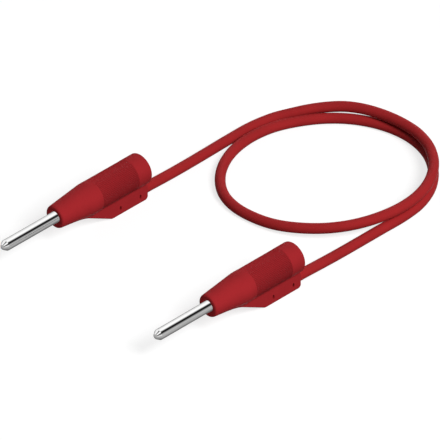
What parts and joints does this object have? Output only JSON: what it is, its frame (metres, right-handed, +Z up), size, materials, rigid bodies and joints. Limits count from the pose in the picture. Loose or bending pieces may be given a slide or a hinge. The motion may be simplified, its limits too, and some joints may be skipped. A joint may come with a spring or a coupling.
{
  "type": "test lead",
  "caption": "Thin flexible cable with a stackable test plug at each end: ribbed moulded housing, round pin in front, socket behind, and a ridge below that takes the cable.",
  "frame": {"origin": "bottom centre of the two plugs, on the surface that their ridges stand on", "axes": "+X from the pins towards the cable and its loop, +Y from plug 2 to plug 1 across the two parallel plugs, +Z up"},
  "size_m": [0.0786, 0.0426, 0.0088],
  "materials": {
    "housing": "moulded red plastic, satin",
    "contact": "turned brass with bright nickel plating",
    "conductor": "tinned copper strands",
    "solder": "bright tin solder",
    "insulation": "soft red insulation, smooth"
  },
  "bodies": {
    "root": {"plug_1_housing": "housing", "plug_1_contact": "contact", "plug_1_conductor": "conductor", "plug_1_solder": "solder", "plug_2_housing": "housing", "plug_2_contact": "contact", "plug_2_conductor": "conductor", "plug_2_solder": "solder", "cable": "insulation"}
  },
  "joints": []
}
